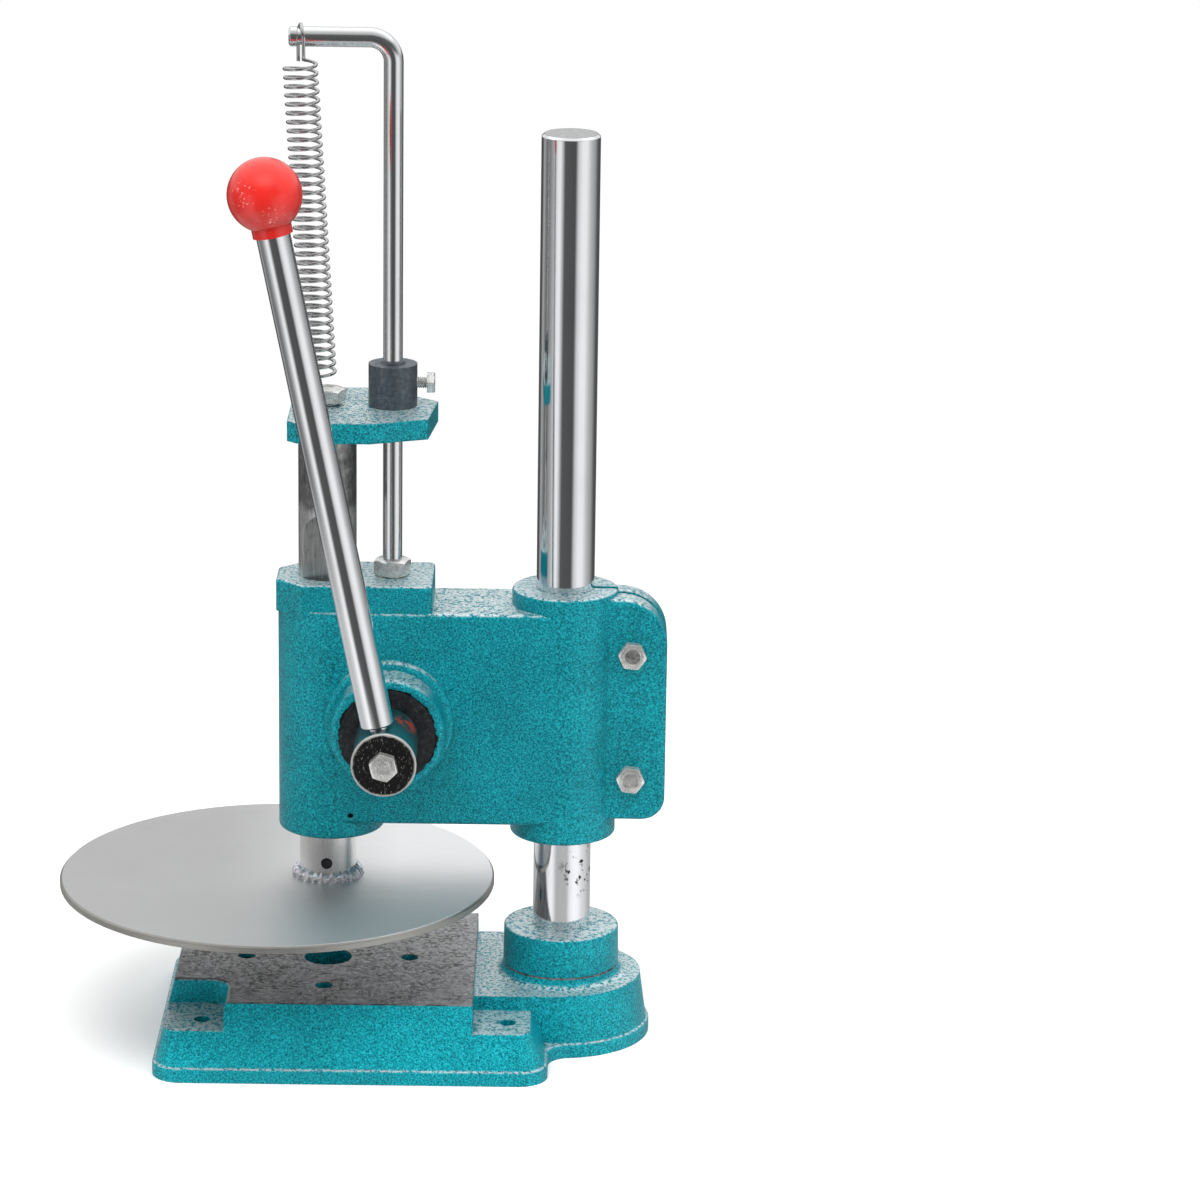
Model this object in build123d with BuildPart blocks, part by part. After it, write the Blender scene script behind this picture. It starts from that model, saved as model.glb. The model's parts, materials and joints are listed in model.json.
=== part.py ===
from build123d import *
from math import acos, cos, degrees, hypot, pi, radians, sin, sqrt, tan
import os

# Hand lever press for rounds of dough. The base stands on z = 0, the column is at +X of the ram, and
# the lever is at -Y. The origin is the middle of the four bench bolt holes. Sizes are in millimetres.

# Layout of the axes
ram_x = -17.0
throat = 123.0
table_height = 37.5
daylight = 43.0
lever_swing = 110.0
lever_lean = 11.6

# Shared clearances
running_gap = 0.05
post_gap = 0.1
side_gap = 0.3

# Base casting
foot_left = 87.0
foot_right = 117.0
foot_depth = 176.0
foot_corner = 15.0
foot_lip = 7.5
foot_ledge = 1.6
foot_edge = 1.5
table_left = 78.0
table_right = 78.0
table_depth = 140.0
notch_width = 28.0
notch_depth = 33.0
notch_corner = 9.0
notch_edge = 2.5
floor_height = 24.5
deck_height = 32.5
deck_width = 86.0
nose_radius = 47.0
nose_blend = 12.0
nose_taper = 8.0
boss_radius = 30.5
boss_height = 26.0
boss_foot = 5.0
boss_edge = 1.2
casting_wall = 8.0
rib_thickness = 8.0
hollow_corner = 8.0
bench_spacing_x = 158.0
bench_spacing_y = 120.0
bench_hole_r = 4.25
bench_pad_r = 11.0
table_pcd = 86.0
table_hole_r = 4.5
table_bore_r = 12.5
table_bore_wall = 7.0

# Column
column_r = 15.0
column_out = 237.5
column_chamfer = 1.5
column_seat = 6.0

# Head casting, from its lowest face up
head_lift = 110.0
head_depth = 54.0
web_step = 10.5
web_height = 113.5
web_edge = 3.0
ram_boss_r = 27.5
ram_boss_shift = 2.0
ram_boss_drop = 8.5
ram_boss_edge = 2.0
pad_rise = 14.0
pad_left = 26.0
pad_right = 55.0
pad_depth = 50.0
pad_corner = 14.0
pad_edge = 1.5
column_boss_r = 27.5
column_boss_rise = 8.5
column_boss_edge = 1.6
ear_reach = 53.0
ear_thickness = 32.0
ear_rise = 6.0
ear_step = 0.5
ear_corner = 24.0
ear_low_corner = 12.0
ear_edge = 2.5
clamp_slot = 4.0
clamp_bolt_reach = 35.0
clamp_bolt_inset = 23.0
clamp_bolt_pitch = 67.0
oil_hole_r = 1.5
oil_hole_depth = 9.0
oil_hole_inset = 13.0

# Pinion, its bushes and its boss
pinion_rise = 55.5
tooth_module = 2.0
tooth_count = 20
tooth_backlash = 0.3
pressure_angle = 20.0
pinion_width = 28.0
pinion_boss_r = 29.5
pinion_boss_reach = 23.0
pinion_boss_edge = 3.5
pinion_ring_r = 33.5
pinion_ring_reach = 4.5
pinion_ring_edge = 3.0
rear_boss_r = 19.0
rear_boss_reach = 8.0
front_bush_r = 22.6
front_flange_r = 24.5
front_flange = 1.5
front_journal_r = 11.0
rear_bush_r = 13.0
rear_journal_r = 9.0
shaft_tail = 4.0
shaft_chamfer = 0.8
ring_thickness = 1.2
ring_r = 12.0
ring_groove = 1.0
ring_mouth = 10.8

# Ram, its socket and the press plate
ram_r = 15.0
ram_out = 79.5
ram_flat_depth = 6.0
ram_flat_out = 35.0
ram_flat_length = 150.0
spigot_r = 10.0
socket_gap = 2.0
socket_r = 14.75
socket_screw_r = 3.0
socket_screw_height = 10.0
socket_screw_sink = 1.0
bead_width = 4.2
bead_height = 5.5
plate_r = 114.0
plate_thickness = 4.0
plate_offset = 26.5
plate_chamfer = 1.2

# Cross plate on the ram
cross_thickness = 10.5
cross_left = 18.5
cross_front = 42.0
cross_back = 37.0
cross_shoulder = 23.5
cross_corner = 5.0
nose_front = (52.5, -30.0)
nose_back = (56.5, 9.0)

# Guide post, stop collar and their fasteners
post_reach = 33.5
post_r = 5.0
post_sink = 20.0
post_out = 189.0
post_bend = 12.0
post_arm_end = 19.0
post_chamfer = 1.0
hook_groove_reach = 13.5
hook_groove_width = 2.4
hook_groove_depth = 0.8
collar_r = 12.5
collar_height = 22.0
collar_sink = 2.0
stop_screw_r = 3.0
stop_screw_height = 12.0
stop_screw_out = 9.0

# Lever
hub_r = 16.0
hub_length = 45.0
hub_edge = 1.2
shaft_nose_r = 8.0
key_width = 5.0
key_length = 24.0
key_depth = 2.5
washer_r = 16.5
washer_thickness = 1.8
washer_edge = 0.5
rod_setback = 11.0
rod_r = 8.5
rod_chamfer = 0.8
neck_r = 4.5
neck_length = 1.6
lever_length = 293.0
knob_r = 18.5
knob_neck_r = 10.0
knob_neck = 1.6
knob_socket = 16.0

# Hex heads and nuts, as width across flats and height, with the threads that they go on
hex_m6 = (10.0, 4.0)
hex_m8 = (13.0, 5.3)
hex_m10 = (17.0, 6.4)
nut_m8 = (13.0, 6.5)
nut_m10 = (17.0, 8.4)
m8_r = 4.0
m10_r = 5.0
m8_bite = 16.0
m10_bite = 20.0
tap_spare = 2.0
thread_end = 3.0

# Return spring
wire_r = 0.9
coil_r = 8.1
coil_turns = 35
coil_top_drop = 4.0
coil_bottom_rise = 15.0
coil_bottom_shift = 4.0
eye_clearance = 0.1
tail_bend = 3.0
tail_drop = 4.0

# Places that follow from the sizes above
column_x = ram_x + throat
column_boss_bottom = head_lift
web_bottom = head_lift + web_step
web_top = web_bottom + web_height
pad_top = web_top + pad_rise
column_boss_top = web_top + column_boss_rise
column_top = column_boss_top + column_out
ram_boss_bottom = web_bottom - ram_boss_drop
ear_bottom = web_bottom + ear_step
ear_top = web_top + ear_rise
clamp_bolt_x = column_x + clamp_bolt_reach
clamp_bolt_low = ear_bottom + clamp_bolt_inset
pinion_height = web_bottom + pinion_rise
pitch_r = tooth_module * tooth_count / 2
tip_r = pitch_r + tooth_module
root_r = pitch_r - 1.25 * tooth_module
pinion_x = ram_x + ram_r - tooth_module + pitch_r
plate_bottom = table_height + daylight
plate_top = plate_bottom + plate_thickness
boss_top = deck_height + boss_height
head_front = -head_depth / 2
boss_face = head_front - pinion_boss_reach
bush_face = boss_face - front_flange
hub_back = bush_face - side_gap
hub_front = hub_back - hub_length
lever_y = hub_front + rod_setback
pinion_front = -pinion_width / 2
pinion_back = pinion_width / 2
rear_face = head_depth / 2 + rear_boss_reach
shaft_end = rear_face + side_gap + ring_thickness + shaft_tail
cross_height = pad_top + ram_out
cross_top = cross_height + cross_thickness
ram_flat_top = pad_top + ram_flat_out
socket_top = ram_boss_bottom - socket_gap
post_arm_height = cross_top + post_out
post_x = ram_x + post_reach
hook_x = ram_x - hook_groove_reach
stroke = pitch_r * radians(lever_swing)


def hex_sketch(across_flats):
    RegularPolygon(radius=across_flats / 2, side_count=6, major_radius=False)


def tooth_point(radius, half_angle_at_pitch, side):
    base_r = pitch_r * cos(radians(pressure_angle))
    alpha = acos(min(1.0, base_r / radius))
    alpha_pitch = radians(pressure_angle)
    roll = (tan(alpha) - alpha) - (tan(alpha_pitch) - alpha_pitch)
    angle = side * (half_angle_at_pitch - roll)
    return (radius * cos(angle), radius * sin(angle))


# Base casting: lip, sloping plinth, machined table, deck and column boss, hollow underneath
with BuildPart() as base_casting:
    foot_mid = ram_x + (foot_right - foot_left) / 2
    with BuildSketch() as foot:
        with Locations((foot_mid, 0)):
            RectangleRounded(foot_left + foot_right, foot_depth, foot_corner)
        with Locations((column_x, 0)):
            Circle(nose_radius)
        joins = foot.vertices().filter_by(
            lambda v: abs(v.X - ram_x - foot_right) < 0.01 and abs(v.Y) < nose_radius)
        fillet(joins, nose_blend)
    extrude(amount=foot_lip)
    fillet(edges().group_by(Axis.Z)[-1], foot_edge)
    with BuildSketch(Plane.XY.offset(foot_lip)):
        with Locations((foot_mid, 0)):
            ledge_length = foot_left + foot_right - 2 * foot_ledge
            RectangleRounded(ledge_length, foot_depth - 2 * foot_ledge, foot_corner - foot_ledge)
    table_span = table_left + foot_right - foot_corner
    with BuildSketch(Plane.XY.offset(table_height)):
        with Locations((ram_x - table_left + table_span / 2, 0)):
            RectangleRounded(table_span, table_depth, 2)
    loft()
    notch_x = ram_x - table_left + notch_width
    notch_y = table_depth / 2 - notch_depth
    with BuildSketch(Plane.XY.offset(floor_height)):
        notch_mid = (notch_x - foot_left / 2, notch_y + foot_depth / 2)
        with Locations(notch_mid, (notch_mid[0], -notch_mid[1])):
            RectangleRounded(foot_left, foot_depth, notch_corner)
        with Locations((ram_x + table_right, 0)):
            Rectangle(foot_right, foot_depth, align=(Align.MIN, Align.CENTER))
    extrude(amount=table_height, mode=Mode.SUBTRACT)
    notch_rims = edges().filter_by(
        lambda e: abs(e.center().Z - table_height) < 0.01 and e.center().X < notch_x + 0.01
        and abs(e.center().Y) > notch_y - 0.01 and e.center().X > ram_x - table_left + 0.01)
    fillet(notch_rims, notch_edge)
    with BuildSketch(Plane.XY.offset(foot_lip)):
        with Locations((column_x, 0)):
            Circle(nose_radius - foot_ledge)
    extrude(amount=deck_height - foot_lip, taper=nose_taper)
    with BuildSketch(Plane.XY.offset(foot_lip)):
        with Locations((ram_x + table_right - 1, 0)):
            Rectangle(throat - table_right, deck_width, align=(Align.MIN, Align.CENTER))
    extrude(amount=deck_height - foot_lip)
    with BuildSketch(Plane.XY.offset(deck_height)):
        with Locations((column_x, 0)):
            Circle(boss_radius)
    extrude(amount=boss_height, taper=1)
    boss_foot_edge = edges().filter_by(GeomType.CIRCLE).filter_by(
        lambda e: abs(e.center().Z - deck_height) < 0.01 and abs(e.radius - boss_radius) < 0.01)
    fillet(boss_foot_edge, boss_foot)
    fillet(edges().filter_by(GeomType.CIRCLE).group_by(Axis.Z)[-1], boss_edge)
    # Hollow underside, in four cells between two crossing ribs
    with BuildSketch():
        with Locations((foot_mid, 0)):
            RectangleRounded(
                foot_left + foot_right - 2 * casting_wall, foot_depth - 2 * casting_wall, hollow_corner)
        with Locations((ram_x, 0)):
            Rectangle(rib_thickness, foot_depth, mode=Mode.SUBTRACT)
            Circle(table_bore_r + table_bore_wall, mode=Mode.SUBTRACT)
            with PolarLocations(table_pcd / 2, 4):
                Circle(table_hole_r + table_bore_wall, mode=Mode.SUBTRACT)
        with Locations((foot_mid, 0)):
            Rectangle(foot_left + foot_right, rib_thickness, mode=Mode.SUBTRACT)
        with Locations((column_x, 0)):
            Circle(boss_radius, mode=Mode.SUBTRACT)
        with GridLocations(bench_spacing_x, bench_spacing_y, 2, 2):
            Circle(bench_pad_r, mode=Mode.SUBTRACT)
    extrude(amount=floor_height - casting_wall, mode=Mode.SUBTRACT)
    with BuildSketch(Plane.XY.offset(table_height)):
        with Locations((ram_x, 0)):
            Circle(table_bore_r)
            with PolarLocations(table_pcd / 2, 4):
                Circle(table_hole_r)
    extrude(amount=-table_height, mode=Mode.SUBTRACT)
    with BuildSketch():
        with GridLocations(bench_spacing_x, bench_spacing_y, 2, 2):
            Circle(bench_hole_r)
    extrude(amount=table_height, mode=Mode.SUBTRACT)
    with BuildSketch(Plane.XY.offset(column_seat)):
        with Locations((column_x, 0)):
            Circle(column_r)
    extrude(amount=boss_top, mode=Mode.SUBTRACT)
base_casting.part.label = "base_casting"

# Column, seated in the boss of the base
with BuildPart() as column:
    with BuildSketch(Plane.XY.offset(column_seat)):
        with Locations((column_x, 0)):
            Circle(column_r)
    extrude(amount=column_top - column_seat)
    chamfer(edges().filter_by(GeomType.CIRCLE), column_chamfer)
column.part.label = "column"

# Head casting: ram boss, web, split clamp on the column, pinion boss and post pad
front_plane = Plane.XZ.offset(-head_front)
with BuildPart() as head_casting:
    with BuildSketch(Plane.XY.offset(web_bottom)):
        with Locations((ram_x, 0)):
            Rectangle(throat, head_depth, align=(Align.MIN, Align.CENTER))
    extrude(amount=web_height)
    fillet(edges().filter_by(Axis.X), web_edge)
    with BuildSketch(Plane.XY.offset(ram_boss_bottom)):
        with Locations((ram_x + ram_boss_shift, 0)):
            Circle(ram_boss_r)
    extrude(amount=pad_top - ram_boss_bottom)
    with BuildSketch(Plane.XY.offset(web_top - web_edge)) as pad:
        with Locations((ram_x - pad_left, 0)):
            Rectangle(pad_left + pad_right, pad_depth, align=(Align.MIN, Align.CENTER))
        chamfer(pad.vertices().group_by(Axis.X)[0], pad_corner)
        fillet(pad.vertices().group_by(Axis.X)[-1], web_edge)
    extrude(amount=pad_rise + web_edge)
    with BuildSketch(Plane.XY.offset(pad_top)):
        with Locations((ram_x - pad_left, 0)):
            Rectangle(pad_left + pad_right, 2 * head_depth, align=(Align.MIN, Align.CENTER))
        with Locations((ram_x - pad_left, 0)):
            Rectangle(
                pad_left + pad_right, pad_depth, align=(Align.MIN, Align.CENTER), mode=Mode.SUBTRACT)
    extrude(amount=web_top - pad_top, mode=Mode.SUBTRACT)
    fillet(edges().group_by(Axis.Z)[-1], pad_edge)
    ram_boss_rim = edges().filter_by(GeomType.CIRCLE).filter_by(
        lambda e: abs(e.center().Z - ram_boss_bottom) < 0.01 and abs(e.radius - ram_boss_r) < 0.01)
    fillet(ram_boss_rim, ram_boss_edge)
    with BuildSketch(Plane.XZ.offset(ear_thickness / 2)) as ear:
        with Locations((column_x, ear_bottom)):
            Rectangle(ear_reach, ear_top - ear_bottom, align=(Align.MIN, Align.MIN))
        fillet(ear.vertices().group_by(Axis.X)[-1].sort_by(Axis.Y)[-1], ear_corner)
        fillet(ear.vertices().group_by(Axis.X)[-1].sort_by(Axis.Y)[0], ear_low_corner)
    extrude(amount=-ear_thickness)
    ear_rims = edges().filter_by(
        lambda e: abs(abs(e.center().Y) - ear_thickness / 2) < 0.01 and e.center().X > column_x + 1)
    fillet(ear_rims, ear_edge)
    with BuildSketch(Plane.XY.offset(column_boss_bottom)):
        with Locations((column_x, 0)):
            Circle(column_boss_r)
    extrude(amount=column_boss_top - column_boss_bottom)
    fillet(edges().group_by(Axis.Z)[0], column_boss_edge)
    column_boss_rim = edges().filter_by(GeomType.CIRCLE).filter_by(
        lambda e: abs(e.center().Z - column_boss_top) < 0.01 and abs(e.radius - column_boss_r) < 0.01)
    fillet(column_boss_rim, column_boss_edge)
    with BuildSketch(front_plane):
        with Locations((pinion_x, pinion_height)):
            Circle(pinion_ring_r)
    extrude(amount=pinion_ring_reach)
    pinion_ring_rim = edges().filter_by(GeomType.CIRCLE).filter_by(
        lambda e: abs(e.radius - pinion_ring_r) < 0.01 and e.center().Y < head_front - 1)
    fillet(pinion_ring_rim, pinion_ring_edge)
    with BuildSketch(front_plane):
        with Locations((pinion_x, pinion_height)):
            Circle(pinion_boss_r)
    extrude(amount=pinion_boss_reach)
    with BuildSketch(Plane.XZ.offset(head_front)):
        with Locations((pinion_x, pinion_height)):
            Circle(rear_boss_r)
    extrude(amount=-rear_boss_reach)
    pinion_rims = edges().filter_by(GeomType.CIRCLE).filter_by(
        lambda e: abs(e.radius - pinion_boss_r) < 0.01 and abs(e.center().Y - boss_face) < 0.01)
    fillet(pinion_rims, pinion_boss_edge)
    # Bores
    with BuildSketch(Plane.XY.offset(ram_boss_bottom)):
        with Locations((ram_x, 0)):
            Circle(ram_r + running_gap)
    extrude(amount=pad_top, mode=Mode.SUBTRACT)
    with BuildSketch():
        with Locations((column_x, 0)):
            Circle(column_r + running_gap)
            Rectangle(2 * ear_reach, clamp_slot, align=(Align.MIN, Align.CENTER))
    extrude(amount=column_top, mode=Mode.SUBTRACT)
    with BuildSketch(Plane.XZ.offset(-boss_face)):
        with Locations((pinion_x, pinion_height)):
            Circle(front_bush_r)
    extrude(amount=boss_face - pinion_back - side_gap, mode=Mode.SUBTRACT)
    with BuildSketch(Plane.XZ.offset(-boss_face)):
        with Locations((pinion_x, pinion_height)):
            Circle(rear_bush_r)
    extrude(amount=boss_face - rear_face, mode=Mode.SUBTRACT)
    with BuildSketch(Plane.XY.offset(pad_top)):
        with Locations((post_x, 0)):
            Circle(post_r)
    extrude(amount=-post_sink, mode=Mode.SUBTRACT)
    with BuildSketch(Plane.XZ.offset(head_depth)):
        with Locations((clamp_bolt_x, clamp_bolt_low + clamp_bolt_pitch / 2)):
            with GridLocations(0, clamp_bolt_pitch, 1, 2):
                Circle(m8_r)
    extrude(amount=-2 * head_depth, mode=Mode.SUBTRACT)
    with BuildSketch(front_plane):
        with Locations((ram_x + oil_hole_inset, ram_boss_bottom + oil_hole_inset)):
            Circle(oil_hole_r)
    extrude(amount=-oil_hole_depth, mode=Mode.SUBTRACT)
head_casting.part.label = "head_casting"

# Clamp bolts through both ears, heads at the front, and their nuts at the back
with BuildPart() as clamp_bolts:
    clamp_bolt_high = clamp_bolt_low + clamp_bolt_pitch
    bolt_row = Locations((clamp_bolt_x, clamp_bolt_low), (clamp_bolt_x, clamp_bolt_high))
    with BuildSketch(Plane.XZ.offset(ear_thickness / 2)):
        with bolt_row:
            hex_sketch(hex_m8[0])
    extrude(amount=hex_m8[1])
    with BuildSketch(Plane.XZ.offset(ear_thickness / 2)):
        with bolt_row:
            Circle(m8_r)
    extrude(amount=-ear_thickness - nut_m8[1] - thread_end)
clamp_bolts.part.label = "clamp_bolts"

with BuildPart() as clamp_nuts:
    with BuildSketch(Plane.XZ.offset(-ear_thickness / 2)):
        with bolt_row:
            hex_sketch(nut_m8[0])
            Circle(m8_r, mode=Mode.SUBTRACT)
    extrude(amount=-nut_m8[1])
clamp_nuts.part.label = "clamp_nuts"

# Bushes that carry the pinion shaft
with BuildPart() as front_bush:
    with BuildSketch(Plane.XZ.offset(-boss_face)):
        with Locations((pinion_x, pinion_height)):
            Circle(front_bush_r)
    extrude(amount=boss_face - pinion_front + side_gap)
    with BuildSketch(Plane.XZ.offset(-boss_face)):
        with Locations((pinion_x, pinion_height)):
            Circle(front_flange_r)
    extrude(amount=front_flange)
    with BuildSketch(Plane.XZ.offset(-bush_face)):
        with Locations((pinion_x, pinion_height)):
            Circle(front_journal_r + running_gap)
    extrude(amount=-head_depth, mode=Mode.SUBTRACT)
    with BuildSketch(Plane.XY.offset(ram_boss_bottom)):
        with Locations((ram_x, 0)):
            Circle(ram_r + running_gap)
    extrude(amount=pad_top, mode=Mode.SUBTRACT)
front_bush.part.label = "front_bush"

with BuildPart() as rear_bush:
    with BuildSketch(Plane.XZ.offset(-rear_face)):
        with Locations((pinion_x, pinion_height)):
            Circle(rear_bush_r)
            Circle(rear_journal_r + running_gap, mode=Mode.SUBTRACT)
    extrude(amount=rear_face - pinion_back - side_gap)
rear_bush.part.label = "rear_bush"

# Guide post: a bent rod screwed into the pad, its arm holding the spring over the ram
with BuildPart() as guide_post:
    with BuildLine() as post_path:
        rise = Line((post_x, 0, pad_top - post_sink), (post_x, 0, post_arm_height - post_bend))
        bend = TangentArc(rise @ 1, (post_x - post_bend, 0, post_arm_height), tangent=rise % 1)
        Line(bend @ 1, (ram_x - post_arm_end, 0, post_arm_height))
    with BuildSketch(Plane.XY.offset(pad_top - post_sink)):
        with Locations((post_x, 0)):
            Circle(post_r)
    sweep(path=post_path.wire())
    chamfer(faces().sort_by(Axis.X)[0].edges(), post_chamfer)
    with BuildSketch(Plane.YZ.offset(hook_x - hook_groove_width / 2)):
        with Locations((0, post_arm_height)):
            Circle(2 * post_r)
            Circle(post_r - hook_groove_depth, mode=Mode.SUBTRACT)
    extrude(amount=hook_groove_width, mode=Mode.SUBTRACT)
guide_post.part.label = "guide_post"

with BuildPart() as post_nut:
    with BuildSketch(Plane.XY.offset(pad_top)):
        with Locations((post_x, 0)):
            hex_sketch(nut_m10[0])
            Circle(post_r, mode=Mode.SUBTRACT)
    extrude(amount=nut_m10[1])
post_nut.part.label = "post_nut"

# Stop collar, clamped on the post by a side screw
with BuildPart() as stop_collar:
    with BuildSketch(Plane.XY.offset(cross_top)):
        with Locations((post_x, 0)):
            Circle(collar_r)
            Circle(post_r + running_gap, mode=Mode.SUBTRACT)
    extrude(amount=collar_height)
    collar_rims = edges().filter_by(GeomType.CIRCLE).group_by(Axis.Z)[-1]
    chamfer(collar_rims.sort_by(SortBy.RADIUS)[0], collar_sink)
    with BuildSketch(Plane.YZ.offset(post_x)):
        with Locations((0, cross_top + stop_screw_height)):
            Circle(stop_screw_r)
    extrude(amount=collar_r, mode=Mode.SUBTRACT)
stop_collar.part.label = "stop_collar"

with BuildPart() as stop_screw:
    with BuildSketch(Plane.YZ.offset(post_x + post_r + running_gap)):
        with Locations((0, cross_top + stop_screw_height)):
            Circle(stop_screw_r)
    extrude(amount=collar_r - post_r + stop_screw_out - hex_m6[1])
    with BuildSketch(Plane.YZ.offset(post_x + collar_r + stop_screw_out - hex_m6[1])):
        with Locations((0, cross_top + stop_screw_height)):
            hex_sketch(hex_m6[0])
    extrude(amount=hex_m6[1])
stop_screw.part.label = "stop_screw"

# Ram: a round bar with a milled flat in front, a rack on the column side and a spigot below
with BuildPart() as ram:
    with BuildSketch(Plane.XY.offset(socket_top)):
        with Locations((ram_x, 0)):
            Circle(ram_r)
    extrude(amount=cross_height - socket_top)
    with BuildSketch(Plane.XY.offset(plate_top)):
        with Locations((ram_x, 0)):
            Circle(spigot_r)
    extrude(amount=socket_top - plate_top)
    flat_half = sqrt(ram_r**2 - (ram_r - ram_flat_depth) ** 2)
    with BuildSketch(Plane.XZ.offset(ram_r - ram_flat_depth)):
        with Locations((ram_x, ram_flat_top - ram_flat_length / 2)):
            RectangleRounded(2 * flat_half, ram_flat_length, 0.99 * flat_half)
    extrude(amount=ram_r, mode=Mode.SUBTRACT)
    rack_pitch = pi * tooth_module
    rack_slope = tan(radians(pressure_angle))
    gap_half = rack_pitch / 4 + tooth_backlash / 2
    rack_teeth_below = 2
    rack_teeth_above = int(stroke / rack_pitch) + 3
    tooth_depth = 2.25 * tooth_module
    top = gap_half + tooth_module * rack_slope
    root = top - tooth_depth * rack_slope
    upper_flank = [(1, top), (0, top), (-tooth_depth, root)]
    lower_flank = [(-tooth_depth, -root), (0, -top), (1, -top)]
    with BuildSketch(Plane.XZ) as rack:
        for step in range(-rack_teeth_below, rack_teeth_above + 1):
            with Locations((ram_x + ram_r, pinion_height + step * rack_pitch)):
                Polygon(*upper_flank, *lower_flank, align=None)
    extrude(amount=ram_r, both=True, mode=Mode.SUBTRACT)
    with BuildSketch(Plane.XY.offset(cross_height)):
        with Locations((ram_x, 0)):
            Circle(m10_r)
    extrude(amount=-m10_bite - tap_spare, mode=Mode.SUBTRACT)
ram.part.label = "ram"

# Cross plate bolted on the ram, guided by the post
with BuildPart() as cross_plate:
    with BuildSketch(Plane.XY.offset(cross_height)) as cross_outline:
        with BuildLine():
            Polyline(
                (ram_x - cross_left, -cross_front),
                (ram_x + cross_shoulder, -cross_front),
                (ram_x + nose_front[0], nose_front[1]),
                (ram_x + nose_back[0], nose_back[1]),
                (ram_x + cross_shoulder, cross_back),
                (ram_x - cross_left, cross_back),
                close=True,
            )
        make_face()
        chamfer(cross_outline.vertices().group_by(Axis.X)[0], cross_corner)
        with Locations((ram_x, 0)):
            Circle(m10_r, mode=Mode.SUBTRACT)
        with Locations((post_x, 0)):
            Circle(post_r + post_gap, mode=Mode.SUBTRACT)
    extrude(amount=cross_thickness)
cross_plate.part.label = "cross_plate"

eye_room = 2 * (wire_r + eye_clearance)
with BuildPart() as cross_plate_bolt:
    with BuildSketch(Plane.XY.offset(cross_top + eye_room)):
        with Locations((ram_x, 0)):
            hex_sketch(hex_m10[0])
    extrude(amount=hex_m10[1])
    with BuildSketch(Plane.XY.offset(cross_top + eye_room)):
        with Locations((ram_x, 0)):
            Circle(m10_r)
    extrude(amount=-eye_room - cross_thickness - m10_bite)
cross_plate_bolt.part.label = "cross_plate_bolt"

# Socket of the press plate, its set screw, the weld round its foot and the plate
with BuildPart() as plate_socket:
    with BuildSketch(Plane.XY.offset(plate_top)):
        with Locations((ram_x, 0)):
            Circle(socket_r)
            Circle(spigot_r, mode=Mode.SUBTRACT)
    extrude(amount=socket_top - plate_top)
    with BuildSketch(Plane.XZ):
        with Locations((ram_x, plate_top + socket_screw_height)):
            Circle(socket_screw_r)
    extrude(amount=socket_r + 1, mode=Mode.SUBTRACT)
plate_socket.part.label = "plate_socket"

with BuildPart() as socket_screw:
    with BuildSketch(Plane.XZ.offset(spigot_r)):
        with Locations((ram_x, plate_top + socket_screw_height)):
            Circle(socket_screw_r)
    extrude(amount=socket_r - spigot_r - socket_screw_sink)
socket_screw.part.label = "socket_screw"

with BuildPart() as weld_bead:
    with BuildSketch(Plane.XZ):
        with BuildLine():
            inner_foot = (ram_x + socket_r, plate_top)
            outer_foot = (ram_x + socket_r + bead_width, plate_top)
            crest = (ram_x + socket_r, plate_top + bead_height)
            middle = (ram_x + socket_r + 0.66 * bead_width, plate_top + 0.66 * bead_height)
            Line(inner_foot, outer_foot)
            ThreePointArc(outer_foot, middle, crest)
            Line(crest, inner_foot)
        make_face()
    revolve(axis=Axis((ram_x, 0, 0), (0, 0, 1)))
weld_bead.part.label = "weld_bead"

with BuildPart() as press_plate:
    with BuildSketch(Plane.XY.offset(plate_bottom)):
        with Locations((ram_x - plate_offset, 0)):
            Circle(plate_r)
    extrude(amount=plate_thickness)
    chamfer(edges().group_by(Axis.Z)[-1], plate_chamfer)
press_plate.part.label = "press_plate"

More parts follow.
